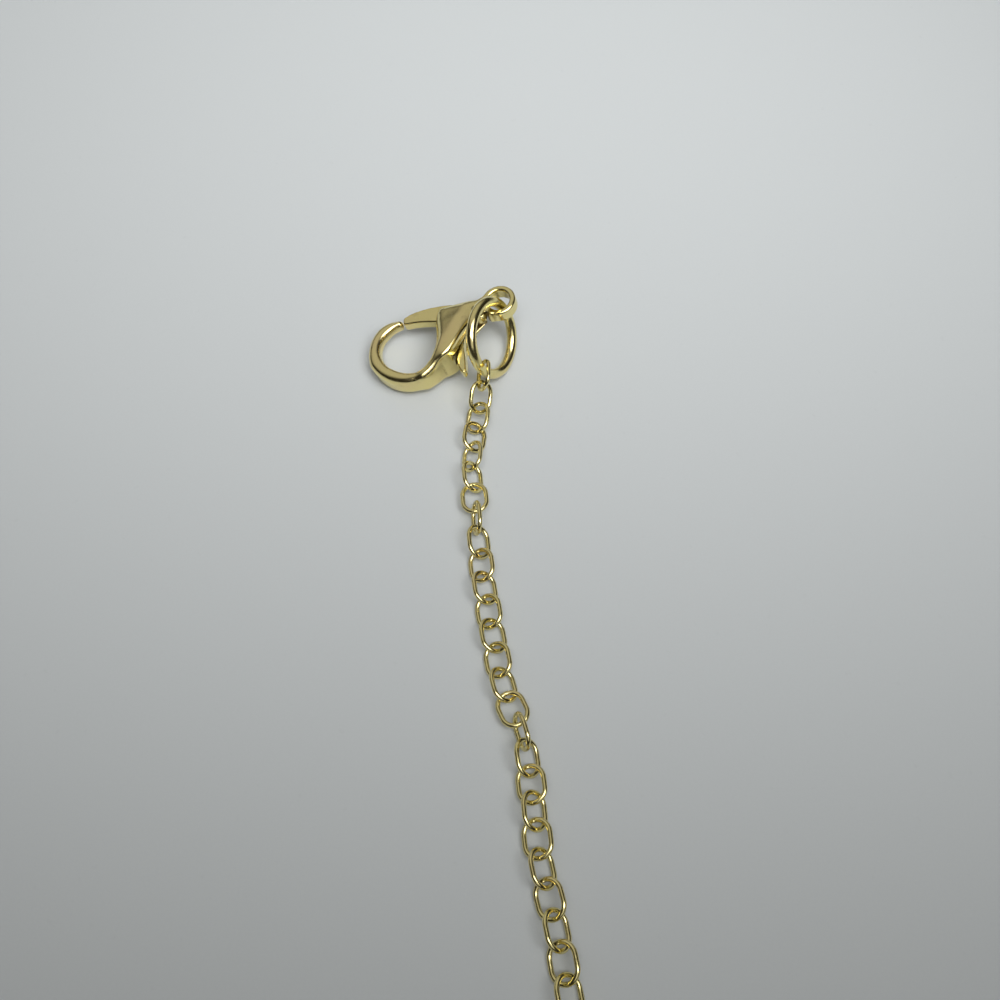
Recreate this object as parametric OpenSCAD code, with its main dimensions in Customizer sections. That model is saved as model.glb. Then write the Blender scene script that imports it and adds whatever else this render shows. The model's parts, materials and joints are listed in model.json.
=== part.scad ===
// Fine cable-chain necklace with a lobster clasp, unfastened and laid open.
// The clasp, its jump ring and the first links lie as pictured, and the rest
// of the loop takes the plain way round to a plain ring at its other end.

/* [Clasp] */
// Turn of the clasp's long axis on the table, degrees
clasp_turn = 20.85; // [20.25:0.2:21.25]
// How far the hook end leans down to the table, degrees
clasp_tilt = 14.1; // [13.7:0.1:14.1]
// Thickness of the clasp's body at its ridge
body_thick = 3.1; // [2.9:0.1:3.2]
// Outside radius of the eye
eye_r = 1.22; // [1.16:0.01:1.26]
// Radius of the eye's hole
eye_hole_r = 0.78; // [0.76:0.01:0.8]
// Height of the eye
eye_h = 1; // [0.9:0.05:1.1]

/* [Lever] */
// Thickness of the lever
lever_thick = 0.8; // [0.7:0.05:0.85]
// Diameter of the pivot pin
pin_d = 0.5; // [0.4:0.05:0.6]
// Length of the pivot pin, which ends a little inside the body's faces
pin_len = 1.4; // [1.3:0.05:1.5]
// Running clearance between the pin and the lever, all round
pin_gap = 0.03; // [0.02:0.01:0.05]
// Room above and below the lever in its slot
slot_gap = 0.15; // [0.12:0.01:0.18]

/* [Jump ring] */
// Wire of the round jump ring
ring_wire = 0.72; // [0.68:0.01:0.74]
// Outside diameter of the jump ring
ring_d = 5.73; // [5.71:0.01:5.75]

/* [Chain] */
// Wire of a link
link_wire = 0.3; // [0.26:0.01:0.31]
// Outside width of a link
link_w = 1.86; // [1.84:0.01:1.88]
// Outside length of a link
link_l = 2.4; // [2.38:0.01:2.42]
// Spacing of the links along the chain
link_pitch = 1.62; // [1.61:0.01:1.63]

/* [End ring] */
// Outside diameter of the plain end ring
end_ring_d = 5; // [4.8:0.1:5.4]
// Wire of the plain end ring
end_ring_wire = 0.72; // [0.68:0.02:0.74]

/* [Hidden] */
$fn = 48;

// The pictured stretch of table, moved so that the whole loop is centred
lay_at = [-45.22, 69.86, 0];
// Middle of the eye, measured from the middle of the pictured table
eye_at = [-0.023, 14.141, 3.2];

// Places in the clasp's own plane: x runs from the hook to the eye, z is up
pin_at = [-1.67, -0.15];
hub_r = 0.55;
hub_room = 0.1;
bore_gap = 0.01;
slot_h = lever_thick + 2 * slot_gap;

// Hook seen from above: from its tip round the outside to its root, and back inside
HOOK_EDGE = [
    [-6.86, 2.12], [-7.3, 2.35], [-7.88, 2.46], [-8.43, 2.37], [-8.94, 2.1], [-9.39, 1.67],
    [-9.74, 1.12], [-9.99, 0.52], [-10.12, -0.03], [-10.14, -0.5], [-10.02, -1.07], [-9.76, -1.74],
    [-9.38, -2.34], [-8.93, -2.81], [-8.36, -3.2], [-7.74, -3.42], [-7.12, -3.52], [-6.3, -3.36],
    [-5.8, -3], [-6.1, -2.6], [-6.65, -2.74], [-7.2, -2.72], [-7.83, -2.45], [-8.3, -2.09],
    [-8.73, -1.57], [-9, -1.1], [-9.15, -0.46], [-9.17, 0.13], [-9.03, 0.67], [-8.76, 1.08],
    [-8.36, 1.4], [-7.82, 1.62], [-7.4, 1.69], [-6.95, 1.72]
];
// Height of the hook's bar: place across the clasp, and half height
HOOK_HALF = [[-4, 0.85], [-1.5, 0.8], [0.5, 0.62], [3, 0.38]];

// Body seen from above: top edge, arch beside the hook's hole, near edge
BODY_EDGE = [
    [-0.85, 0.88], [-1.4, 1.03], [-2.08, 1.19], [-2.7, 1.39], [-3.35, 1.6], [-4.1, 1.78], [-4.5, 1.35],
    [-4.78, 0.57], [-4.92, -0.1], [-5.09, -0.74], [-5.31, -1.35], [-5.63, -1.89], [-6.07, -2.36],
    [-6.6, -2.72], [-7.2, -3], [-7.1, -3.45], [-6.4, -3.33], [-5.6, -3.06], [-5, -2.96], [-4.5, -2.8],
    [-3.9, -2.34], [-3, -1.56], [-2.35, -1.03], [-1.8, -0.83], [-1.25, -0.75], [-0.8, -0.78]
];
// Half height of the body along its length
BODY_HALF = [
    [-0.5, 0.46], [-1.1, 0.56], [-1.9, 0.85], [-3, 1.3], [-3.9, 1.55], [-4.85, 1.5], [-5.6, 1.3],
    [-6.4, 1.05], [-7.6, 0.85]
];
// Half height of the body across it, which falls towards its top edge
BODY_FALL = [
    [-4, 1.6], [-1.2, 1.6], [-0.4, 1.35], [0.2, 1.08], [0.8, 0.85], [1.3, 0.69], [1.7, 0.58],
    [2.4, 0.52]
];
// Crown above the near edge: distance from the ridge, and share of the full height
ridge_at = [-4.13, -2.28];
ridge_turn = 33;
CROWN = [
    [-1.6, 0.4], [-0.9, 0.66], [-0.45, 0.87], [-0.15, 0.98], [0.15, 1], [0.6, 0.97], [1.1, 0.88],
    [1.7, 0.75], [2.3, 0.62], [2.9, 0.52], [4, 0.45]
];
// Slot for the arm that closes the hook, and slot for the thumb tab
ARM_ROOM = [
    [-1.66, 0.83], [-2.53, 2.63], [-5.95, 2.63], [-5.9, 0.05], [-4.9, -0.18], [-3.7, -0.55],
    [-3, -0.75], [-1.95, -0.3]
];
TAB_ROOM = [
    [-1.13, -0.6], [-0.92, -1.76], [-2.49, -4.5], [-5.02, -4.5], [-4.88, -3.41], [-4.5, -2.65],
    [-3.95, -1.85], [-3.1, -0.75], [-2.17, 0.1]
];
// Lever seen from above: over the arm to its tip, back, then round the thumb tab
LEVER_EDGE = [
    [-1.85, 0.35], [-2.5, 1.05], [-3.4, 1.57], [-4.35, 1.93], [-5.08, 2.12], [-5.87, 2.23],
    [-6.42, 2.2], [-6.69, 2.08], [-6.77, 1.64], [-6.16, 1.41], [-5.45, 1.1], [-4.8, 0.74],
    [-3.6, 0.05], [-2.75, -0.45], [-3.1, -1], [-3.75, -1.88], [-4.17, -2.59], [-4.4, -3.1],
    [-4.47, -3.74], [-4.37, -4.22], [-4.17, -4.2], [-4.01, -3.88], [-3.75, -3.07], [-3.56, -2.25],
    [-3.2, -1.62], [-2.66, -1.05], [-2.2, -0.72]
];

// Middle and lean of the jump ring where it hangs through the eye and meets the table
ring_at = [-0.555, 11.545, 2.627];
ring_lean = [16.2, 62.05, -3.7];

// The chain's way over the table, from the jump ring round to the end ring
ROUTE = [
    [-0.9, 9.8], [-1.35, 7.2], [-1.9, 3], [-1.6, -1], [-1.2, -5], [-0.5, -9.5], [0.3, -13.5],
    [1.3, -16], [1.8, -19], [2.2, -23], [3, -26.5], [3.8, -31], [5.5, -40], [8, -60], [11, -85],
    [17, -110], [30, -139], [53, -154], [77, -147], [93, -124], [99, -94], [95, -65], [85, -40],
    [71, -21], [58, -7], [51, 1], [46, 10]
];
link_count = 238;
near_count = 119;
// Middle and lean of the first link, which hangs on the jump ring
first_at = [-1.127, 8.785, 1.986];
first_lean = [63.2, 1.6, -89];
// Distance along the route and height of the first links, which climb to the jump ring
LEAD = [[1.2, 2.4], [2.5, 1.4], [3.75, 0.7]];
lead_start = 0.44;
// Where the links are pushed together: link number and length lost by then
SLACK = [[15, 0], [20, 0.5]];
// Roll of each pictured link about the chain's own line, right side up, degrees
ROLL = [
    60, -40, 30, -35, 45, -46, 6, 75, -40, 30, -35, 30, -30,
    30, -35, 8, 75, -40, 20, -40, 22, -40, 30, -40, 30, -35
];
// Roll of the other links, by turns, and of the last one
plain_roll = 30;
last_roll = -70;
table_gap = 0.05;
link_r = (link_w - link_wire) / 2;
link_side = link_l - link_w;
link_sag = 0.1;

// Radii of the rings' centre lines, and how the end ring leans on the last link
ring_r = (ring_d - ring_wire) / 2;
end_ring_r = (end_ring_d - end_ring_wire) / 2;
end_ring_lean = 7;
end_ring_reach = end_ring_r + 0.4;

function curve_at(a, b, c, d, t) =
    0.5 * (2 * b + (c - a) * t + (2 * a - 5 * b + 4 * c - d) * t * t + (3 * b - a - 3 * c + d) * t * t * t);
// Smooth closed outline through hand-placed points
function closed_curve(p, steps, n) =
    [for (i = [0:n - 1], k = [0:steps - 1])
        curve_at(p[(i + n - 1) % n], p[i], p[(i + 1) % n], p[(i + 2) % n], k / steps)];
// Smooth open line through hand-placed points
function open_curve(p, steps, n) =
    concat([for (i = [0:n - 2], k = [0:steps - 1])
        curve_at(p[max(i - 1, 0)], p[i], p[i + 1], p[min(i + 2, n - 1)], k / steps)], [p[n - 1]]);
// Distance along a line at each of its points
function distances(p) =
    [for (i = 0, s = 0; i < len(p); i = i + 1, s = s + (i < len(p) ? norm(p[i] - p[i - 1]) : 0)) s];

way = open_curve(ROUTE, 12, len(ROUTE));
way_s = distances(way);
way_x = [for (i = [0:len(way) - 1]) [way_s[i], way[i].x]];
way_y = [for (i = [0:len(way) - 1]) [way_s[i], way[i].y]];

function way_at(s) = [lookup(s, way_x), lookup(s, way_y)];
function along(i) = i < len(LEAD) ? LEAD[i][0] : lead_start + i * link_pitch - lookup(i, SLACK);
function roll(i) =
    i == link_count - 1 ? last_roll : i < len(ROLL) ? ROLL[i] : i % 2 == 0 ? plain_roll : -plain_roll;
// Height at which a rolled link lies on the table
function rest(i) = link_r * abs(sin(roll(i))) + link_wire / 2 + table_gap;
// A link held up by its neighbours hangs a little below them
function height(i) =
    i < len(LEAD) ? LEAD[i][1] :
    i == link_count - 1 ? rest(i) :
    max(rest(i), (rest(i - 1) + rest(i + 1)) / 2 - link_sag);

module lay() {
    translate(lay_at) children();
}

module clasp_plane() {
    lay() translate(eye_at) rotate([0, -clasp_tilt, clasp_turn]) children();
}

// Round-ended bar section, standing up, centred on the origin
module bar_section(w, h) {
    square([w, h - w], center = true);
    for (s = [-1, 1])
        translate([0, s * (h - w) / 2]) circle(d = w);
}

// Oval of round wire, long along x: radius of its ends, length of its sides, sides of its section
module oval_wire(r, side, wire, facets) {
    for (end = [0, 180])
        rotate([0, 0, end]) {
            translate([side / 2, 0, 0]) rotate([0, 0, -90])
                rotate_extrude(angle = 180) translate([r, 0]) circle(d = wire, $fn = facets);
            translate([-side / 2, r, 0]) rotate([0, 90, 0])
                cylinder(h = side, d = wire, $fn = facets);
        }
}

// Both halves of a section, from its upper edge
function mirrored(p) =
    concat(p, [for (i = [len(p) - 1:-1:0]) [p[i][0], -p[i][1]]]);

// Bar along x whose half height is given across it
module tall_as(half) {
    rotate([90, 0, 90]) linear_extrude(30, center = true) polygon(mirrored(open_curve(half, 3, len(half))));
}

module leaf() {
    half = open_curve(BODY_HALF, 3, len(BODY_HALF));
    intersection() {
        linear_extrude(body_thick + 1, center = true) polygon(closed_curve(BODY_EDGE, 3, len(BODY_EDGE)));
        rotate([90, 0, 0]) linear_extrude(12, center = true) polygon(mirrored(half));
        tall_as(BODY_FALL);
        translate(ridge_at) rotate([0, 0, ridge_turn])
            tall_as([for (c = CROWN) [c[0], c[1] * body_thick / 2]]);
    }
}

module hook() {
    intersection() {
        linear_extrude(2, center = true) polygon(closed_curve(HOOK_EDGE, 3, len(HOOK_EDGE)));
        tall_as(HOOK_HALF);
    }
}

module clasp_body() {
    color("darkkhaki") clasp_plane() difference() {
        union() {
            leaf();
            hook();
            rotate_extrude() translate([(eye_r + eye_hole_r) / 2, 0]) bar_section(eye_r - eye_hole_r, eye_h);
        }
        linear_extrude(slot_h, center = true) {
            translate(pin_at) circle(r = hub_r + hub_room);
            polygon(ARM_ROOM);
            polygon(TAB_ROOM);
        }
        translate(pin_at) cylinder(h = 6, d = pin_d + 2 * bore_gap, center = true);
    }
}

module lever() {
    color("tan") clasp_plane() difference() {
        linear_extrude(lever_thick, center = true) {
            translate(pin_at) circle(r = hub_r);
            polygon(closed_curve(LEVER_EDGE, 3, len(LEVER_EDGE)));
        }
        translate(pin_at) cylinder(h = 6, d = pin_d + 2 * pin_gap, center = true);
    }
}

module pivot_pin() {
    color("dimgray") clasp_plane() translate(pin_at) cylinder(h = pin_len, d = pin_d, center = true);
}

module jump_ring() {
    color("rosybrown") lay() translate(ring_at) rotate(ring_lean)
        rotate_extrude() translate([ring_r, 0]) circle(d = ring_wire, $fn = 32);
}

module chain(first, last) {
    for (i = [first:last]) {
        before = way_at(along(i) - link_pitch / 2);
        after = way_at(along(i) + link_pitch / 2);
        lo = max(i - 1, 0);
        hi = min(i + 1, link_count - 1);
        tilt = -atan2(height(hi) - height(lo), along(hi) - along(lo));
        turn = atan2(after.y - before.y, after.x - before.x);
        at = i == 0 ? first_at : concat((before + after) / 2, height(i));
        lean = i == 0 ? first_lean : [roll(i), tilt, turn];
        translate(at) rotate(lean) oval_wire(link_r, link_side, link_wire, 16, $fn = 16);
    }
}

module chain_near() {
    color("khaki") lay() chain(0, near_count - 1);
}

module chain_far() {
    color("khaki") lay() chain(near_count, link_count - 1);
}

// Its near side is held up by the last link, and its far side rests on the table
module end_ring() {
    before = way_at(along(link_count - 1) - link_pitch / 2);
    after = way_at(along(link_count - 1) + link_pitch / 2);
    turn = atan2(after.y - before.y, after.x - before.x);
    middle = (before + after) / 2 + end_ring_reach * [cos(turn), sin(turn)];
    lift = end_ring_wire / 2 + 0.02 + end_ring_r * sin(end_ring_lean);
    color("khaki") lay() translate(concat(middle, lift)) rotate([0, end_ring_lean, turn])
        rotate_extrude() translate([end_ring_r, 0]) circle(d = end_ring_wire, $fn = 32);
}

clasp_body();
lever();
pivot_pin();
jump_ring();
chain_near();
chain_far();
end_ring();
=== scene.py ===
"""Fine cable-chain necklace with a lobster clasp, unfastened and laid open on a pale table."""
import itertools
import json
import math

import bpy
import numpy as np
from bpy.props import FloatProperty, FloatVectorProperty, PointerProperty
from mathutils import Euler, Matrix, Vector


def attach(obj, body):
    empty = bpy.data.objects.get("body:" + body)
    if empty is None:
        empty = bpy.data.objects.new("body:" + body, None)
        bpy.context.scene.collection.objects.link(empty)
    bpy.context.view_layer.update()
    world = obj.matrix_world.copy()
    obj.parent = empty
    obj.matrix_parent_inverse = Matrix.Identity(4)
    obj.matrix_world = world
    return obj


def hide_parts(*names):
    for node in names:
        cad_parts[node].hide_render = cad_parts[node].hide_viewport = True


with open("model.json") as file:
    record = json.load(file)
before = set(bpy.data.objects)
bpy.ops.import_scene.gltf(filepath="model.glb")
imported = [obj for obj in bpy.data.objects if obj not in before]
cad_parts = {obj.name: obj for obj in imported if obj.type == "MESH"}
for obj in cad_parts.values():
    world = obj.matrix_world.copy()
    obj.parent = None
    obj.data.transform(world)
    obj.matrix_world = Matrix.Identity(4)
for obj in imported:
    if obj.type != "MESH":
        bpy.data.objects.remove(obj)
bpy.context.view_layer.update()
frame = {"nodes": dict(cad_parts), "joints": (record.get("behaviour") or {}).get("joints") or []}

bl_info = {
    "name": "Chain Necklace",
    "version": (1, 0, 0),
    "blender": (4, 5, 0),
    "location": "View3D > Sidebar > Necklace",
    "description": "Builds a cable-chain necklace with a lobster clasp, its finishes and a plain stage",
    "category": "Add Mesh",
}

MM = 0.001

# The clasp's own plane: x runs from the hook to the eye, z is up, in mm from the eye's middle
EYE_AT = Vector((-0.023, 14.141, 3.2))
PIN_AT = (-1.67, -0.15)
HOOK_EDGE = [
    (-6.86, 2.12), (-7.3, 2.35), (-7.88, 2.46), (-8.43, 2.37), (-8.94, 2.1), (-9.39, 1.67),
    (-9.74, 1.12), (-9.99, 0.52), (-10.12, -0.03), (-10.14, -0.5), (-10.02, -1.07), (-9.76, -1.74),
    (-9.38, -2.34), (-8.93, -2.81), (-8.36, -3.2), (-7.74, -3.42), (-7.12, -3.52), (-6.3, -3.36),
    (-5.8, -3), (-6.1, -2.6), (-6.65, -2.74), (-7.2, -2.72), (-7.83, -2.45), (-8.3, -2.09),
    (-8.73, -1.57), (-9, -1.1), (-9.15, -0.46), (-9.17, 0.13), (-9.03, 0.67), (-8.76, 1.08),
    (-8.36, 1.4), (-7.82, 1.62), (-7.4, 1.69), (-6.95, 1.72),
]
# Half height of the hook from its near side to its far side
HOOK_HALF = [(-4, 0.85), (-1.5, 0.8), (0.5, 0.62), (3, 0.38)]
BODY_EDGE = [
    (-0.85, 0.88), (-1.4, 1.03), (-2.08, 1.19), (-2.7, 1.39), (-3.35, 1.6), (-4.1, 1.78), (-4.5, 1.35),
    (-4.78, 0.57), (-4.92, -0.1), (-5.09, -0.74), (-5.31, -1.35), (-5.63, -1.89), (-6.07, -2.36),
    (-6.6, -2.72), (-7.2, -3), (-7.1, -3.45), (-6.4, -3.33), (-5.6, -3.06), (-5, -2.96), (-4.5, -2.8),
    (-3.9, -2.34), (-3, -1.56), (-2.35, -1.03), (-1.8, -0.83), (-1.25, -0.75), (-0.8, -0.78),
]
# Half height of the body along the clasp, then from its near side to its far side
BODY_HALF = [
    (-0.5, 0.46), (-1.1, 0.56), (-1.9, 0.85), (-3, 1.3), (-3.9, 1.55), (-4.85, 1.5), (-5.6, 1.3),
    (-6.4, 1.05), (-7.6, 0.85),
]
BODY_FALL = [
    (-4, 1.6), (-1.2, 1.6), (-0.4, 1.35), (0.2, 1.08), (0.8, 0.85), (1.3, 0.69), (1.7, 0.58), (2.4, 0.52),
]
# The crown above the near edge: distance from its ridge, and half height there
RIDGE_AT, RIDGE_TURN, CROWN_SLOPE = (-4.13, -2.28), math.radians(33), 0.85
CROWN = [
    (-1.6, 0.62), (-0.9, 1.023), (-0.45, 1.349), (-0.15, 1.519), (0.15, 1.55), (0.6, 1.504),
    (1.1, 1.364), (1.7, 1.163), (2.3, 0.961), (2.9, 0.806), (4, 0.698),
]
# Distances from the ridge, and how far the leaf's edge is rounded at each
LEAF_ROUND = ((0.1, 1.2), (0.35, 0.8))
# The slot's two wings and the lever, seen from above
ARM_ROOM = [
    (-1.66, 0.83), (-2.53, 2.63), (-5.95, 2.63), (-5.9, 0.05), (-4.9, -0.18), (-3.7, -0.55),
    (-3, -0.75), (-1.95, -0.3),
]
TAB_ROOM = [
    (-1.13, -0.6), (-0.92, -1.76), (-2.49, -4.5), (-5.02, -4.5), (-4.88, -3.41), (-4.5, -2.65),
    (-3.95, -1.85), (-3.1, -0.75), (-2.17, 0.1),
]
LEVER_EDGE = [
    (-1.85, 0.35), (-2.5, 1.05), (-3.4, 1.57), (-4.35, 1.93), (-5.08, 2.12), (-5.87, 2.23),
    (-6.42, 2.2), (-6.69, 2.08), (-6.77, 1.64), (-6.16, 1.41), (-5.45, 1.1), (-4.8, 0.74),
    (-3.6, 0.05), (-2.75, -0.45), (-3.1, -1), (-3.75, -1.88), (-4.17, -2.59), (-4.4, -3.1),
    (-4.47, -3.74), (-4.37, -4.22), (-4.17, -4.2), (-4.01, -3.88), (-3.75, -3.07), (-3.56, -2.25),
    (-3.2, -1.62), (-2.66, -1.05), (-2.2, -0.72),
]

# The chain's way over the table and how its first links climb and roll, in mm and degrees
RING_AT = Vector((-0.555, 11.545, 2.627))
RING_LEAN = (16.2, 62.05, -3.7)
ROUTE = [
    (-0.9, 9.8), (-1.35, 7.2), (-1.9, 3), (-1.6, -1), (-1.2, -5), (-0.5, -9.5), (0.3, -13.5),
    (1.3, -16), (1.8, -19), (2.2, -23), (3, -26.5), (3.8, -31), (5.5, -40), (8, -60), (11, -85),
    (17, -110), (30, -139), (53, -154), (77, -147), (93, -124), (99, -94), (95, -65), (85, -40),
    (71, -21), (58, -7), (51, 1), (46, 10),
]
FIRST_AT, FIRST_LEAN = Vector((-1.127, 8.785, 1.986)), (63.2, 1.6, -89)
LEAD = [(1.2, 2.4), (2.5, 1.4), (3.75, 0.7)]
LEAD_START = 0.44
SLACK = [(15, 0), (20, 0.5)]
ROLL = [
    60, -40, 30, -35, 45, -46, 6, 75, -40, 30, -35, 30, -30,
    30, -35, 8, 75, -40, 20, -40, 22, -40, 30, -40, 30, -35,
]
PLAIN_ROLL, LAST_ROLL = 30, -70
LINK_COUNT, NEAR_COUNT, SHOWN_COUNT = 238, 119, 28
TABLE_GAP, LINK_SAG = 0.05, 0.1
END_LEAN, END_REACH, END_LIFT = 7, 0.4, 0.02

# Rounding of the clasp's edges and joins, and the lever's play, in mm
FINE_EDGE, LEVER_EDGE_ROUND, HOOK_ROUND = 0.06, 0.14, 0.5
HOOK_JOIN, EYE_JOIN, CROWN_JOIN = 0.4, 0.3, 0.2
EYE_CORNER, EYE_HOLE_EDGE, SLOT_EDGE, LEVER_HOLE_EDGE = 0.16, 0.08, 0.05, 0.04
PIN_FIT, PIN_PLAY = 0.01, 0.03
PIN_ROOM, PIN_BOSS = 0.65, 0.55
# Boxes that the clasp's two surfaces are looked for in, and the lever's finer grain
BODY_BOX = ((-10.7, -4.5, -1.9), (1.5, 2.8, 1.9))
LEVER_BOX = ((-7.2, -4.8, -0.7), (-0.7, 2.7, 0.7))
LEVER_GRAIN = 0.8
# How far from a point the surface's slope, its bend and its open room are read, in mm; the bend and the
# open room set where shade is painted on the metal
SLOPE_REACH, BEND_REACH, OPEN_REACH = 0.02, 0.12, 0.8

# Lumps to a millimetre in the metal's colour, dullness and surface, and how much each one counts
CLOUDS_PER_MM, STAINS_PER_MM, WORN_PER_MM = 0.35, 1.3, 9
WAVES_PER_MM, SCRATCHES_PER_MM = 0.9, 12
STAIN_SHARE, SCRATCH_SHARE = 0.25, 0.06
# How much the painted shade together with the stains dulls the metal, and how much the wear does
SHADE_AND_STAIN_DULLS, WEAR_DULLS = 0.3, 0.1
BUMP_DEPTH = 0.05 * MM
# The same for the table's paper
SPECKS_PER_MM, GRAIN_PER_MM = 1.6, 6
SPECK_SHARE, GRAIN_SHARE = 0.08, 0.05
# The room: which way its pale side lies, how far that reaches, and its two tones
PALE_SIDE, PALE_EDGE, PALE_CORE = (-0.25, 0.6, 0.76), 0.58, 0.97
ROOM_DARK, ROOM_PALE = (0.025, 0.023, 0.02, 1), (0.5, 0.49, 0.46, 1)


class ClaspSizes(bpy.types.PropertyGroup):
    """Sizes of the clasp"""

    tilt: FloatProperty(
        name="Tilt", description="Lean of the hook end to the table",
        default=math.radians(14.1), subtype="ANGLE",
    )
    turn: FloatProperty(
        name="Turn", description="Turn of the clasp on the table",
        default=math.radians(20.85), subtype="ANGLE",
    )
    eye_radius: FloatProperty(
        name="Eye radius", description="Outside radius of the eye", default=1.22 * MM, unit="LENGTH",
    )
    eye_hole: FloatProperty(
        name="Eye hole", description="Radius of the eye's hole", default=0.78 * MM, unit="LENGTH",
    )
    eye_height: FloatProperty(
        name="Eye height", description="Height of the eye", default=1 * MM, unit="LENGTH",
    )
    lever_thick: FloatProperty(
        name="Lever", description="Thickness of the lever", default=0.8 * MM, unit="LENGTH",
    )
    slot_gap: FloatProperty(
        name="Slot gap", description="Room above and below the lever", default=0.15 * MM, unit="LENGTH",
    )
    pin_width: FloatProperty(
        name="Pin", description="Diameter of the pivot pin", default=0.5 * MM, unit="LENGTH",
    )
    grain: FloatProperty(
        name="Grain", description="Spacing of the surface's points", default=0.08 * MM, unit="LENGTH",
    )


class ChainSizes(bpy.types.PropertyGroup):
    """Sizes of the links and rings"""

    wire: FloatProperty(name="Wire", description="Wire of a link", default=0.3 * MM, unit="LENGTH")
    width: FloatProperty(
        name="Width", description="Outside width of a link", default=1.86 * MM, unit="LENGTH",
    )
    length: FloatProperty(
        name="Length", description="Outside length of a link", default=2.4 * MM, unit="LENGTH",
    )
    pitch: FloatProperty(
        name="Pitch", description="Spacing of the links", default=1.62 * MM, unit="LENGTH",
    )
    ring_wire: FloatProperty(
        name="Ring wire", description="Wire of the rings", default=0.72 * MM, unit="LENGTH",
    )
    jump_ring: FloatProperty(
        name="Jump ring", description="Outside diameter of the jump ring",
        default=5.73 * MM, unit="LENGTH",
    )
    end_ring: FloatProperty(
        name="End ring", description="Outside diameter of the end ring", default=5 * MM, unit="LENGTH",
    )


class FinishColours(bpy.types.PropertyGroup):
    """Colours of the metal and the table"""

    gold: FloatVectorProperty(
        name="Gold", description="Plating where it is clean",
        default=(0.86, 0.75, 0.34), subtype="COLOR",
    )
    copper: FloatVectorProperty(
        name="Copper", description="Plating where it is thin",
        default=(0.80, 0.58, 0.36), subtype="COLOR",
    )
    # Dark colour for tarnish where the random stains lie, and for painted shade in the creases and
    # closed-in places
    tarnish_and_shade: FloatVectorProperty(
        name="Tarnish", description="Dull film in the hollows",
        default=(0.15, 0.095, 0.045), subtype="COLOR",
    )
    table: FloatVectorProperty(
        name="Table", description="Paper under the necklace",
        default=(0.60, 0.63, 0.64), subtype="COLOR",
    )
    scratch_depth: FloatProperty(
        name="Wear", description="Depth of the fine wear", default=0.25, min=0, max=1,
    )


class StageSizes(bpy.types.PropertyGroup):
    """Camera and light"""

    lens: FloatProperty(name="Lens", description="Focal length, mm on a 36 mm sensor", default=37.44)
    camera_back: FloatProperty(
        name="Camera back", description="Distance of the camera from the table's middle",
        default=69.33 * MM, unit="LENGTH",
    )
    camera_pitch: FloatProperty(
        name="Camera pitch", description="Angle of view below the horizon",
        default=math.atan(1.77), subtype="ANGLE",
    )
    window_power: FloatProperty(name="Window", description="Power of the soft light, W", default=0.175)
    window_size: FloatProperty(
        name="Window size", description="Side of the light", default=0.12, unit="LENGTH",
    )
    window_at: FloatVectorProperty(
        name="Window at", description="Place of the soft light over the table's middle",
        default=(0.024, -0.0175, 0.144), subtype="TRANSLATION", unit="LENGTH",
    )
    window_aim: FloatVectorProperty(
        name="Window aim", description="Turn of the soft light away from the viewer",
        default=(math.radians(51), math.radians(20), 0), subtype="EULER", unit="ROTATION",
    )
    window_spread: FloatProperty(
        name="Window spread", description="Width of the light's beam",
        default=math.radians(113), subtype="ANGLE",
    )
    fill_power: FloatProperty(
        name="Fill", description="Power of the light over the far loop, W", default=0.045,
    )
    fill_size: FloatProperty(
        name="Fill size", description="Side of the light over the far loop", default=0.16, unit="LENGTH",
    )
    fill_at: FloatVectorProperty(
        name="Fill at", description="Place of the light over the far loop", default=(0.05, -0.11, 0.12),
        subtype="TRANSLATION", unit="LENGTH",
    )
    room: FloatProperty(name="Room", description="Strength of the light all round", default=0.95)
    table_size: FloatProperty(
        name="Table size", description="Side of the table", default=1.6, unit="LENGTH",
    )


def sizes(name):
    """One of the four groups of settings on the scene."""
    return getattr(bpy.context.scene, "necklace_" + name)


def clasp_axes():
    """Turns the clasp's own plane into the table's."""
    clasp = sizes("clasp")
    return Euler((0, -clasp.tilt, clasp.turn)).to_matrix()


def table_middle():
    """Middle of the pictured table, worked out in mm from the lever's hinge."""
    pin = Vector(frame["joints"][0]["pos_m"]) / MM
    return pin - EYE_AT - clasp_axes() @ Vector((*PIN_AT, 0))


def clasp_place():
    """Matrix from the clasp's own plane, in mm, to the row frame, in metres."""
    place = Matrix.Translation(table_middle() + EYE_AT) @ clasp_axes().to_4x4()
    return Matrix.Scale(MM, 4) @ place


def curve_at(a, b, c, d, t):
    """Point of a Catmull-Rom curve between b and c."""
    square = 2 * a - 5 * b + 4 * c - d
    cube = 3 * b - a - 3 * c + d
    return 0.5 * (2 * b + (c - a) * t + square * t**2 + cube * t**3)


def closed_curve(points, steps=4):
    """Smooth closed outline through given points."""
    p = np.array(points, float)
    quads = zip(np.roll(p, 1, 0), p, np.roll(p, -1, 0), np.roll(p, -2, 0))
    return np.array([curve_at(*quad, k / steps) for quad in quads for k in range(steps)])


def open_curve(points, steps):
    """Smooth open line through given points."""
    p = np.array([points[0], *points, points[-1]], float)
    line = [curve_at(*p[i:i + 4], k / steps) for i in range(len(points) - 1) for k in range(steps)]
    return np.array([*line, points[-1]])


def outline_distance(outline, x, y):
    """Signed distance from a closed outline, below 0 inside it."""
    outline = np.asarray(outline, float)
    best = np.full(np.broadcast(x, y).shape, 1e9)
    inside = np.zeros(best.shape, bool)
    for (ax, ay), (bx, by) in zip(outline, np.roll(outline, -1, 0)):
        ex, ey = bx - ax, by - ay
        along = np.clip(((x - ax) * ex + (y - ay) * ey) / (ex * ex + ey * ey), 0, 1)
        best = np.minimum(best, np.hypot(x - ax - along * ex, y - ay - along * ey))
        if by != ay:
            inside ^= ((ay > y) != (by > y)) & (x < ax + (y - ay) / ey * ex)
    return np.where(inside, -best, best)


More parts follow.
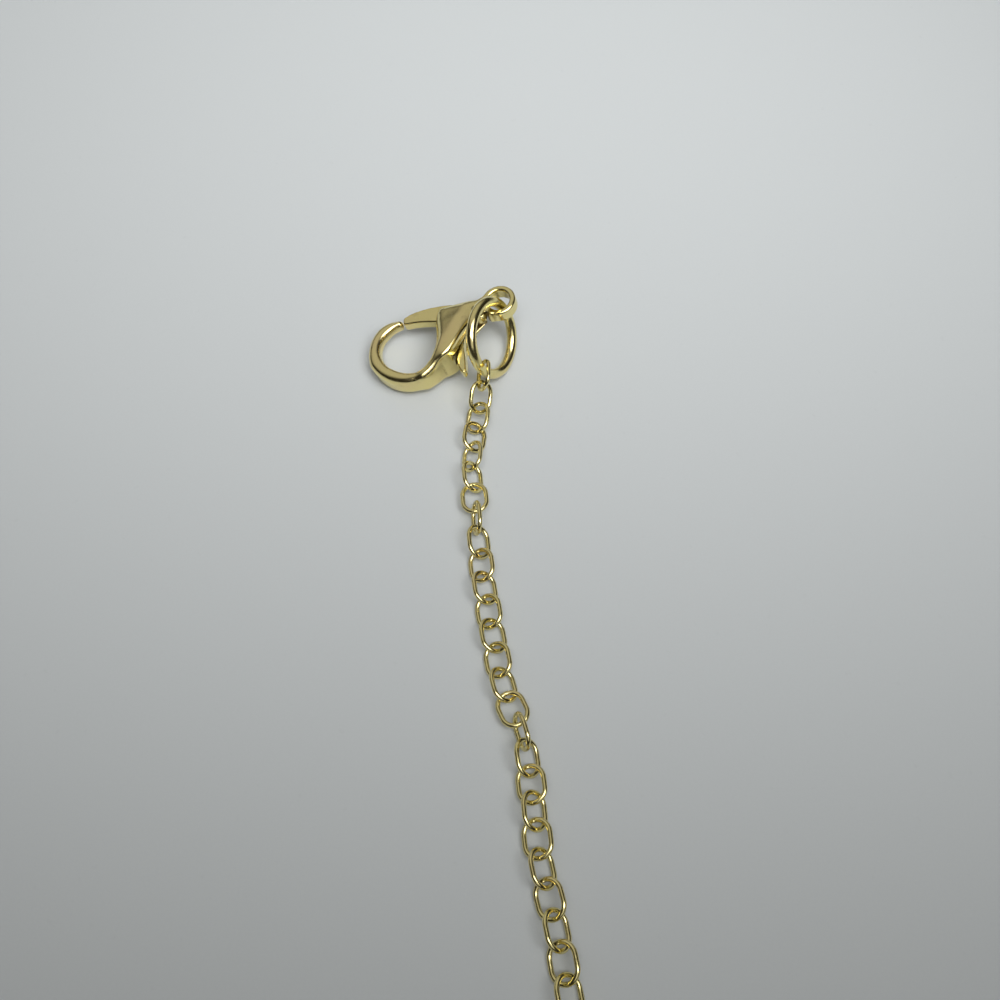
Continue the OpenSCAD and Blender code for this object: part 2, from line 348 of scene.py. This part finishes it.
def soft_min(a, b, round_by):
    """Smaller of two fields, with the crease between them rounded."""
    h = np.clip(0.5 + 0.5 * (b - a) / round_by, 0, 1)
    return b + (a - b) * h - round_by * h * (1 - h)


def soft_max(a, b, round_by):
    """Larger of two fields, with the edge between them rounded."""
    return -soft_min(-a, -b, round_by)


def bar_distance(u, v, width, height, corner):
    """Signed distance from a bar's section with rounded corners."""
    du = np.abs(u) - width / 2 + corner
    dv = np.abs(v) - height / 2 + corner
    return np.hypot(np.maximum(du, 0), np.maximum(dv, 0)) + np.minimum(np.maximum(du, dv), 0) - corner


def slot_distance(x, y, z):
    """Slot that the lever turns in."""
    clasp = sizes("clasp")
    height = (clasp.lever_thick + 2 * clasp.slot_gap) / MM
    flat = np.minimum(outline_distance(ARM_ROOM, x, y), outline_distance(TAB_ROOM, x, y))
    flat = np.minimum(flat, np.hypot(x - PIN_AT[0], y - PIN_AT[1]) - PIN_ROOM)
    return soft_max(flat, np.abs(z) - height / 2, SLOT_EDGE)


def height_along(rows, at):
    """Half height read from a smooth line through given points."""
    line = open_curve(rows, 4)
    line = line[np.argsort(line[:, 0])]
    return np.interp(at, line[:, 0], line[:, 1])


def leaf_field(x, y, z):
    """The body's leaf: a dome that is highest along a ridge by its near edge."""
    edge = outline_distance(closed_curve(BODY_EDGE), x, y)
    from_ridge = (y - RIDGE_AT[1]) * math.cos(RIDGE_TURN) - (x - RIDGE_AT[0]) * math.sin(RIDGE_TURN)
    across = soft_min(height_along(BODY_FALL, y), height_along(CROWN, from_ridge), CROWN_JOIN)
    over = np.abs(z) - soft_min(across, height_along(BODY_HALF, x), CROWN_JOIN)
    return soft_max(edge, CROWN_SLOPE * over, np.interp(from_ridge, *LEAF_ROUND))


def hook_field(x, y, z):
    """The hook's bar, lower towards its tip."""
    edge = outline_distance(closed_curve(HOOK_EDGE), x, y)
    return soft_max(edge, np.abs(z) - height_along(HOOK_HALF, y), HOOK_ROUND)


def body_field(x, y, z):
    """The cast body: leaf, hook and eye run into each other, less the slot and the pin's hole."""
    clasp = sizes("clasp")
    from_eye = np.hypot(x, y)
    middle = (clasp.eye_radius + clasp.eye_hole) / 2 / MM
    rim = (clasp.eye_radius - clasp.eye_hole) / MM
    eye = bar_distance(from_eye - middle, z, rim, clasp.eye_height / MM, EYE_CORNER)
    claw = soft_min(leaf_field(x, y, z), hook_field(x, y, z), HOOK_JOIN)
    solid = soft_min(claw, eye, EYE_JOIN)
    solid = soft_max(solid, clasp.eye_hole / MM - from_eye, EYE_HOLE_EDGE)
    pin_hole = np.hypot(x - PIN_AT[0], y - PIN_AT[1]) - clasp.pin_width / 2 / MM - PIN_FIT
    solid = soft_max(solid, -pin_hole, FINE_EDGE)
    return soft_max(solid, -slot_distance(x, y, z), FINE_EDGE)


def lever_field(x, y, z):
    """The lever: a flat arm and thumb tab round the pin's hole."""
    clasp = sizes("clasp")
    from_pin = np.hypot(x - PIN_AT[0], y - PIN_AT[1])
    flat = soft_min(outline_distance(closed_curve(LEVER_EDGE), x, y), from_pin - PIN_BOSS, SLOT_EDGE)
    solid = soft_max(flat, np.abs(z) - clasp.lever_thick / 2 / MM, LEVER_EDGE_ROUND)
    return soft_max(solid, clasp.pin_width / 2 / MM + PIN_PLAY - from_pin, LEVER_HOLE_EDGE)


def net_points(value, low, step):
    """A point in each cell that the surface crosses, and the number of each such cell."""
    size = np.array(value.shape)
    total = np.zeros([*(size - 1), 3])
    count = np.zeros(size - 1)
    for axis in range(3):
        first, second = np.moveaxis(value, axis, 0)[:-1], np.moveaxis(value, axis, 0)[1:]
        crossed = (first < 0) != (second < 0)
        at = np.where(crossed, first / np.where(crossed, first - second, 1), 0)
        crossed, at = np.moveaxis(crossed, 0, axis), np.moveaxis(at, 0, axis)
        others = [a for a in range(3) if a != axis]
        for shift in itertools.product((0, 1), repeat=2):
            cut = [slice(None)] * 3
            for other, s in zip(others, shift):
                cut[other] = slice(s, size[other] - 1 + s)
            hit = crossed[tuple(cut)]
            count += hit
            total[..., axis] += at[tuple(cut)]
            for other, s in zip(others, shift):
                total[..., other] += hit * s
    used = np.argwhere(count > 0)
    number = np.full(count.shape, -1)
    number[tuple(used.T)] = np.arange(len(used))
    points = used + total[tuple(used.T)] / count[tuple(used.T)][:, None]
    return np.array(low) + points * step, number


def net_faces(value, number):
    """A face for each crossed grid edge, over the four cells round it."""
    faces = []
    for axis in range(3):
        others = ((axis + 1) % 3, (axis + 2) % 3)
        inside = value < 0
        first = np.take(inside, range(value.shape[axis] - 1), axis)
        second = np.take(inside, range(1, value.shape[axis]), axis)
        edges = np.argwhere(first != second)
        edges = edges[(edges[:, others[0]] > 0) & (edges[:, others[1]] > 0)]
        outward = first[tuple(edges.T)]
        ring = []
        for back in ((1, 1), (0, 1), (0, 0), (1, 0)):
            cell = edges.copy()
            cell[:, others[0]] -= back[0]
            cell[:, others[1]] -= back[1]
            cell = np.minimum(cell, np.array(number.shape) - 1)
            ring.append(number[tuple(cell.T)])
        quads = np.stack(ring, 1)
        quads[~outward] = quads[~outward][:, ::-1]
        faces.append(quads)
    return np.concatenate(faces)


def field_slope(field, points, reach):
    """Slope of a field at points, and how concave or sharp the surface is there."""
    here = field(*points.T)
    slope = np.zeros_like(points)
    bend = -6 * here
    for axis in range(3):
        shift = np.zeros(3)
        shift[axis] = reach
        ahead, behind = field(*(points + shift).T), field(*(points - shift).T)
        slope[:, axis] = (ahead - behind) / (2 * reach)
        bend += ahead + behind
    return here, slope, bend / reach**2


def cast_solid(name, field, low, high, step):
    """Mesh of the surface where a field is 0, with its concave and closed-in places marked for painted
    shade.
    """
    axes = [np.arange(a, b + step, step) for a, b in zip(low, high)]
    grid = np.meshgrid(*axes, indexing="ij", sparse=True)
    value = np.broadcast_to(field(*grid), [len(a) for a in axes])
    points, number = net_points(value, low, step)
    faces = net_faces(value, number)
    for _ in range(2):
        here, slope = field_slope(field, points, SLOPE_REACH)[:2]
        steep = np.maximum((slope**2).sum(1), 0.2)
        points = points - (np.clip(here, -step, step) / steep)[:, None] * slope
    bend = field_slope(field, points, BEND_REACH)[2]
    # Painted shade: how little open room lies in front of each point, standing in for the shade that
    # falls in closed-in places
    facing = slope / np.maximum(np.linalg.norm(slope, axis=1), 0.2)[:, None]
    painted_occlusion = 1 - field(*(points + OPEN_REACH * facing).T) / OPEN_REACH
    mesh = bpy.data.meshes.new(name)
    mesh.from_pydata(points.tolist(), [], faces.tolist())
    # Painted shade mark: concave creases and closed-in places, which the metal's colour darkens
    mark = mesh.attributes.new("hollow_shade", "FLOAT", "POINT")
    mark.data.foreach_set("value", np.maximum(np.clip(-bend / 4, -1, 1), painted_occlusion).astype(np.float32))
    mesh.transform(clasp_place())
    mesh.shade_smooth()
    mesh.update()
    piece = bpy.data.objects.new(name, mesh)
    bpy.context.scene.collection.objects.link(piece)
    return piece


def lookup(value, rows):
    """Value read from a short two-column table."""
    return float(np.interp(value, [r[0] for r in rows], [r[1] for r in rows]))


def along(i):
    """Distance of a link along the route, in mm."""
    pitch = sizes("chain").pitch / MM
    return LEAD[i][0] if i < len(LEAD) else LEAD_START + i * pitch - lookup(i, SLACK)


def roll(i):
    """Roll of a link about the chain's line, in degrees."""
    if i == LINK_COUNT - 1:
        return LAST_ROLL
    if i < len(ROLL):
        return ROLL[i]
    return PLAIN_ROLL if i % 2 == 0 else -PLAIN_ROLL


def rest_height(i):
    """Height at which a rolled link lies on the table, in mm."""
    chain = sizes("chain")
    reach = (chain.width - chain.wire) / 2 / MM
    return reach * abs(math.sin(math.radians(roll(i)))) + chain.wire / 2 / MM + TABLE_GAP


def height(i):
    """Height of a link, which hangs a little below its neighbours where they hold it up."""
    if i < len(LEAD):
        return LEAD[i][1]
    if i == LINK_COUNT - 1:
        return rest_height(i)
    return max(rest_height(i), (rest_height(i - 1) + rest_height(i + 1)) / 2 - LINK_SAG)


def link_places(first, last):
    """Middle, in metres, and turn of each link from first to last."""
    line = open_curve(ROUTE, 12)
    gone = np.concatenate([[0], np.cumsum(np.linalg.norm(np.diff(line, axis=0), axis=1))])
    half = sizes("chain").pitch / MM / 2
    places = []
    for i in range(first, last + 1):
        reach = (along(i) - half, along(i) + half)
        ends = [np.array([np.interp(s, gone, line[:, k]) for k in (0, 1)]) for s in reach]
        before, after = max(i - 1, 0), min(i + 1, LINK_COUNT - 1)
        tilt = -math.atan2(height(after) - height(before), along(after) - along(before))
        turn = math.atan2(ends[1][1] - ends[0][1], ends[1][0] - ends[0][0])
        middle = Vector((*((ends[0] + ends[1]) / 2), height(i))) + table_middle()
        places.append((middle * MM, (math.radians(roll(i)), tilt, turn)))
    if first == 0:
        places[0] = ((FIRST_AT + table_middle()) * MM, [math.radians(a) for a in FIRST_LEAN])
    return places


class Nodes:
    """One method that makes any node of a tree."""

    def __init__(self, tree):
        self.tree = tree

    def node(self, kind, settings=(), **values):
        """Node of a kind, with its settings made first and then its sockets set or linked."""
        made = self.tree.nodes.new(kind)
        for key, value in dict(settings).items():
            setattr(made, key, value)
        for key, value in values.items():
            numbered = key[0] == "i" and key[1:].isdigit()
            socket = made.inputs[int(key[1:]) if numbered else key.replace("_", " ")]
            if isinstance(value, Link):
                value = value.socket
            if isinstance(value, bpy.types.NodeSocket):
                self.tree.links.new(value, socket)
            else:
                socket.default_value = value
        return made


class Link:
    """A number socket that works in expressions."""

    def __init__(self, nodes, socket):
        self.nodes = nodes
        self.socket = socket

    def math(self, operation, other=0.0, swap=False):
        """Math node of this socket and another value."""
        values = (other, self) if swap else (self, other)
        made = self.nodes.node("ShaderNodeMath", {"operation": operation}, i0=values[0], i1=values[1])
        return Link(self.nodes, made.outputs[0])

    def __add__(self, other):
        return self.math("ADD", other)

    def __mul__(self, other):
        return self.math("MULTIPLY", other)

    def __sub__(self, other):
        return self.math("SUBTRACT", other)

    def __rsub__(self, other):
        return self.math("SUBTRACT", other, swap=True)

    __radd__ = __add__
    __rmul__ = __mul__

    def held(self):
        """Kept between 0 and 1."""
        made = self.nodes.node("ShaderNodeClamp", (), i0=self)
        return Link(self.nodes, made.outputs[0])


class Finish(Nodes):
    """A material that is being built."""

    def __init__(self, name):
        self.material = bpy.data.materials.new(name)
        self.material.use_nodes = True
        super().__init__(self.material.node_tree)
        self.tree.nodes.clear()
        self.place = self.node("ShaderNodeTexCoord").outputs["Object"]

    def noise(self, per_mm, detail=3.0, rough=0.5):
        """Smooth noise with so many lumps to a millimetre, from 0 to 1."""
        placed = self.node("ShaderNodeMapping", (), Vector=self.place, Scale=[per_mm / MM] * 3)
        made = self.node("ShaderNodeTexNoise", (), Vector=placed.outputs[0], Scale=1.0, Detail=detail,
                         Roughness=rough)
        return Link(self, made.outputs["Fac"])

    def spread(self, value, low, high):
        """Value between low and high drawn out to 0 to 1."""
        made = self.node("ShaderNodeMapRange", (), Value=value, From_Min=low, From_Max=high)
        return Link(self, made.outputs[0])

    def mix(self, share, first, second):
        """Colour between two colours."""
        made = self.node("ShaderNodeMix", {"data_type": "RGBA"}, Factor=share)
        for index, colour in ((6, first), (7, second)):
            if isinstance(colour, bpy.types.NodeSocket):
                self.tree.links.new(colour, made.inputs[index])
            else:
                made.inputs[index].default_value = (*colour, 1)
        return made.outputs[2]

    def done(self, **values):
        """Principled surface with these values, linked to the output."""
        shader = self.node("ShaderNodeBsdfPrincipled", (), **values)
        self.node("ShaderNodeOutputMaterial", (), Surface=shader.outputs[0])
        return self.material


def plated_metal(name, copper_share, dull):
    """Gold plating over brass, with copper tints, tarnish and painted shade in the hollows, and fine
    wear.
    """
    colours = sizes("finish")
    made = Finish(name)
    # Painted shade: the creases and closed-in places marked on the mesh
    marked = made.node("ShaderNodeAttribute", {"attribute_name": "hollow_shade"}).outputs["Fac"]
    hollow_shade = made.spread(marked, 0.15, 0.9)
    thin = made.spread(made.noise(CLOUDS_PER_MM, 4), 0.45, 0.75) * copper_share
    colour = made.mix(thin.socket, colours.gold[:], colours.copper[:])
    stains = made.spread(made.noise(STAINS_PER_MM, 5), 0.55, 0.85)
    # Painted shade and real stains are darkened toward one colour and dulled together
    shade_and_stains = (hollow_shade + stains * STAIN_SHARE).held()
    colour = made.mix(shade_and_stains.socket, colour, colours.tarnish_and_shade[:])
    worn = made.spread(made.noise(WORN_PER_MM, 6, 0.65), 0.35, 0.75)
    rough = dull + shade_and_stains * SHADE_AND_STAIN_DULLS + worn * WEAR_DULLS
    scratches = made.noise(SCRATCHES_PER_MM, 4) * SCRATCH_SHARE * colours.scratch_depth
    wave = made.noise(WAVES_PER_MM, 2) + scratches
    bump = made.node("ShaderNodeBump", (), Strength=0.35, Distance=BUMP_DEPTH, Height=wave)
    return made.done(Base_Color=colour, Metallic=1.0, Roughness=rough, Normal=bump.outputs[0])


def table_paper():
    """Pale matt paper with faint specks."""
    made = Finish("table_paper")
    speck = made.spread(made.noise(SPECKS_PER_MM, 2), 0.68, 0.8)
    grain = made.noise(GRAIN_PER_MM, 5, 0.7)
    pale = sizes("finish").table[:]
    shade = made.spread(grain, 0.3, 0.7) * GRAIN_SHARE + speck * SPECK_SHARE
    colour = made.mix(shade.socket, pale, [c * 0.6 for c in pale])
    bump = made.node("ShaderNodeBump", (), Strength=0.15, Distance=BUMP_DEPTH, Height=grain)
    return made.done(Base_Color=colour, Roughness=0.85, Normal=bump.outputs[0])


def room_world():
    """A dim room that is pale on one side, so that the metal has something to mirror."""
    world = bpy.data.worlds.new("room")
    world.use_nodes = True
    nodes = Nodes(world.node_tree)
    nodes.tree.nodes.clear()
    facing = nodes.node("ShaderNodeTexCoord").outputs["Generated"]
    toward = nodes.node("ShaderNodeVectorMath", {"operation": "DOT_PRODUCT"}, i0=facing, i1=PALE_SIDE)
    share = nodes.node("ShaderNodeMapRange", {"interpolation_type": "SMOOTHSTEP"},
                       Value=toward.outputs["Value"], From_Min=PALE_EDGE, From_Max=PALE_CORE)
    sky = nodes.node("ShaderNodeMix", {"data_type": "RGBA"}, Factor=share.outputs[0],
                     i6=ROOM_DARK, i7=ROOM_PALE)
    lit = nodes.node("ShaderNodeBackground", (), Color=sky.outputs[2], Strength=sizes("stage").room)
    nodes.node("ShaderNodeOutputWorld", (), Surface=lit.outputs[0])
    return world


def soft_light(name, place, size, power):
    """Square light that faces straight down."""
    light = bpy.data.lights.new(name, "AREA")
    light.size = size
    light.energy = power
    lamp = bpy.data.objects.new(name, light)
    lamp.location = place
    bpy.context.scene.collection.objects.link(lamp)
    return lamp


def material(slot, *how):
    """The plated metal for a slot, made once."""
    name = slot + "_plated"
    return bpy.data.materials.get(name) or plated_metal(name, *how)


def wire_tree():
    """Geometry Nodes: an oval of round wire at each point, turned as the point says."""
    tree = bpy.data.node_groups.new("oval_wires", "GeometryNodeTree")
    tree.interface.new_socket("Geometry", in_out="INPUT", socket_type="NodeSocketGeometry")
    for name in ("Length", "Width", "Wire"):
        tree.interface.new_socket(name, in_out="INPUT", socket_type="NodeSocketFloat")
    for name in ("Bend Steps", "Wire Sides"):
        tree.interface.new_socket(name, in_out="INPUT", socket_type="NodeSocketInt")
    tree.interface.new_socket("Material", in_out="INPUT", socket_type="NodeSocketMaterial")
    tree.interface.new_socket("Geometry", in_out="OUTPUT", socket_type="NodeSocketGeometry")
    nodes = Nodes(tree)
    given = nodes.node("NodeGroupInput").outputs
    length = Link(nodes, given["Length"]) - given["Wire"]
    width = Link(nodes, given["Width"]) - given["Wire"]
    line = nodes.node("GeometryNodeCurvePrimitiveQuadrilateral", (), i0=length, i1=width)
    bent = nodes.node("GeometryNodeFilletCurve", {"mode": "POLY"}, Curve=line.outputs[0],
                      Count=given["Bend Steps"], Radius=width * 0.499)
    section = nodes.node("GeometryNodeCurvePrimitiveCircle", (), Resolution=given["Wire Sides"],
                         Radius=Link(nodes, given["Wire"]) * 0.5)
    wire = nodes.node("GeometryNodeCurveToMesh", (), Curve=bent.outputs[0],
                      Profile_Curve=section.outputs[0])
    whole = nodes.node("GeometryNodeMergeByDistance", (), Geometry=wire.outputs[0], Distance=0.004 * MM)
    smooth = nodes.node("GeometryNodeSetShadeSmooth", (), Geometry=whole.outputs[0])
    turn = nodes.node("GeometryNodeInputNamedAttribute", {"data_type": "FLOAT_VECTOR"}, Name="turn")
    turned = nodes.node("FunctionNodeEulerToRotation", (), Euler=turn.outputs[0])
    placed = nodes.node("GeometryNodeInstanceOnPoints", (), Points=given["Geometry"],
                        Instance=smooth.outputs[0], Rotation=turned.outputs[0])
    real = nodes.node("GeometryNodeRealizeInstances", (), Geometry=placed.outputs[0])
    dressed = nodes.node("GeometryNodeSetMaterial", (), Geometry=real.outputs[0],
                         Material=given["Material"])
    nodes.node("NodeGroupOutput", (), Geometry=dressed.outputs[0])
    return tree


def wire_piece(name, places, finish, **values):
    """Oval wires at their places as one plain mesh."""
    mesh = bpy.data.meshes.new(name + "_points")
    mesh.from_pydata([p[0] for p in places], [], [])
    turn = mesh.attributes.new("turn", "FLOAT_VECTOR", "POINT")
    turn.data.foreach_set("vector", [v for p in places for v in p[1]])
    source = bpy.data.objects.new(name + "_points", mesh)
    bpy.context.scene.collection.objects.link(source)
    tree = bpy.data.node_groups.get("oval_wires") or wire_tree()
    modifier = source.modifiers.new("wires", "NODES")
    modifier.node_group = tree
    values["Material"] = finish
    for item in tree.interface.items_tree:
        if item.in_out == "INPUT" and item.name.replace(" ", "_") in values:
            modifier[item.identifier] = values[item.name.replace(" ", "_")]
    seen = source.evaluated_get(bpy.context.evaluated_depsgraph_get())
    made = bpy.data.meshes.new_from_object(seen)
    made.name = name
    bpy.data.objects.remove(source)
    piece = bpy.data.objects.new(name, made)
    bpy.context.scene.collection.objects.link(piece)
    return piece


def settle(piece, body, slot, *nodes):
    """Puts a finished piece on its body, in place of the nodes it stands for."""
    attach(piece, body)
    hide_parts(*nodes)


class NECKLACE_OT_clasp_body(bpy.types.Operator):
    """Cast body of the clasp with its hook and eye"""

    bl_idname = "necklace.clasp_body"
    bl_label = "Clasp Body"

    def execute(self, context):
        grain = sizes("clasp").grain / MM
        piece = cast_solid("clasp_body_cast", body_field, *BODY_BOX, grain)
        piece.data.materials.append(material("clasp_gold", 0.35, 0.13))
        settle(piece, "necklace", "clasp_gold", "clasp_body")
        return {"FINISHED"}


class NECKLACE_OT_lever(bpy.types.Operator):
    """Lever with its arm and thumb tab"""

    bl_idname = "necklace.lever"
    bl_label = "Lever"

    def execute(self, context):
        grain = sizes("clasp").grain / MM
        piece = cast_solid("lever_stamped", lever_field, *LEVER_BOX, grain * LEVER_GRAIN)
        piece.data.materials.append(material("clasp_gold", 0.35, 0.13))
        settle(piece, "lever", "clasp_gold", "lever")
        return {"FINISHED"}


class NECKLACE_OT_pivot_pin(bpy.types.Operator):
    """Pin that the lever turns on"""

    bl_idname = "necklace.pivot_pin"
    bl_label = "Pivot Pin"

    def execute(self, context):
        pin = frame["nodes"]["pivot_pin"]
        pin.data.materials.clear()
        pin.data.materials.append(material("pin_brass", 0.6, 0.45))
        return {"FINISHED"}


class NECKLACE_OT_rings(bpy.types.Operator):
    """Round jump ring and plain end ring"""

    bl_idname = "necklace.rings"
    bl_label = "Rings"

    def execute(self, context):
        chain = sizes("chain")
        finish = material("ring_gold", 0.45, 0.15)
        place = ((RING_AT + table_middle()) * MM, [math.radians(a) for a in RING_LEAN])
        ring = wire_piece("jump_ring_wire", [place], finish, Length=chain.jump_ring,
                          Width=chain.jump_ring, Wire=chain.ring_wire, Bend_Steps=24, Wire_Sides=32)
        settle(ring, "necklace", "ring_gold", "jump_ring")
        middle, (_roll, _tilt, turn) = link_places(LINK_COUNT - 1, LINK_COUNT - 1)[0]
        radius = (chain.end_ring - chain.ring_wire) / 2
        reach = radius + END_REACH * MM
        lift = chain.ring_wire / 2 + END_LIFT * MM + radius * math.sin(math.radians(END_LEAN))
        at = (middle.x + reach * math.cos(turn), middle.y + reach * math.sin(turn), lift)
        place = (at, (0, math.radians(END_LEAN), turn))
        end = wire_piece("end_ring_wire", [place], finish, Length=chain.end_ring, Width=chain.end_ring,
                         Wire=chain.ring_wire, Bend_Steps=16, Wire_Sides=24)
        settle(end, "necklace", "ring_gold", "end_ring")
        return {"FINISHED"}


class NECKLACE_OT_chain(bpy.types.Operator):
    """Interlocking oval links along the chain's route"""

    bl_idname = "necklace.chain"
    bl_label = "Chain"

    def execute(self, context):
        chain = sizes("chain")
        finish = material("chain_gold", 0.25, 0.12)
        stretches = (
            ("chain_at_clasp", 0, SHOWN_COUNT - 1, 10, 10, "chain_near"),
            ("chain_near_links", SHOWN_COUNT, NEAR_COUNT - 1, 4, 6, "chain_near"),
            ("chain_far_links", NEAR_COUNT, LINK_COUNT - 1, 4, 6, "chain_far"),
        )
        for name, first, last, steps, sides, node in stretches:
            piece = wire_piece(name, link_places(first, last), finish, Length=chain.length,
                               Width=chain.width, Wire=chain.wire, Bend_Steps=steps, Wire_Sides=sides)
            settle(piece, "necklace", "chain_gold", node)
        return {"FINISHED"}


class NECKLACE_OT_stage(bpy.types.Operator):
    """Pale table, soft light and the camera"""

    bl_idname = "necklace.stage"
    bl_label = "Stage"

    def execute(self, context):
        stage = sizes("stage")
        scene = context.scene
        middle = table_middle() * MM
        middle.z = 0
        mesh = bpy.data.meshes.new("table")
        half = stage.table_size / 2
        corners = [(-half, -half, 0), (half, -half, 0), (half, half, 0), (-half, half, 0)]
        mesh.from_pydata(corners, [], [(0, 1, 2, 3)])
        mesh.materials.append(table_paper())
        table = bpy.data.objects.new("table", mesh)
        scene.collection.objects.link(table)
        window_at = middle + Vector(stage.window_at)
        window = soft_light("window", window_at, stage.window_size, stage.window_power)
        window.rotation_euler = stage.window_aim
        window.data.spread = stage.window_spread
        soft_light("fill", middle + Vector(stage.fill_at), stage.fill_size, stage.fill_power)
        scene.world = room_world()
        scene.view_settings.view_transform = "Standard"
        view = bpy.data.cameras.new("camera")
        view.lens, view.sensor_width = stage.lens, 36
        view.clip_start = 0.002
        camera = bpy.data.objects.new("camera", view)
        pitch = stage.camera_pitch
        camera.location = middle + Vector((0, -math.cos(pitch), math.sin(pitch))) * stage.camera_back
        camera.rotation_euler = (math.pi / 2 - pitch, 0, 0)
        scene.collection.objects.link(camera)
        scene.camera = camera
        return {"FINISHED"}


class NECKLACE_PT_panel(bpy.types.Panel):
    """Lists the pieces and their settings"""

    bl_label = "Chain Necklace"
    bl_idname = "NECKLACE_PT_panel"
    bl_space_type = "VIEW_3D"
    bl_region_type = "UI"
    bl_category = "Necklace"

    def draw(self, context):
        for operator in OPERATORS:
            self.layout.operator(operator.bl_idname)
        for key, group in GROUPS.items():
            box = self.layout.box()
            for prop in group.__annotations__:
                box.prop(sizes(key), prop)


GROUPS = {"clasp": ClaspSizes, "chain": ChainSizes, "finish": FinishColours, "stage": StageSizes}
OPERATORS = (
    NECKLACE_OT_stage,
    NECKLACE_OT_clasp_body,
    NECKLACE_OT_lever,
    NECKLACE_OT_pivot_pin,
    NECKLACE_OT_rings,
    NECKLACE_OT_chain,
)
CLASSES = (*GROUPS.values(), *OPERATORS, NECKLACE_PT_panel)


def register():
    for cls in CLASSES:
        bpy.utils.register_class(cls)
    for key, group in GROUPS.items():
        setattr(bpy.types.Scene, "necklace_" + key, PointerProperty(type=group))


def unregister():
    for key in GROUPS:
        delattr(bpy.types.Scene, "necklace_" + key)
    for cls in reversed(CLASSES):
        bpy.utils.unregister_class(cls)


def main():
    register()
    for operator in OPERATORS:
        getattr(bpy.ops.necklace, operator.bl_idname.split(".")[1])()


if __name__ == "__main__":
    main()
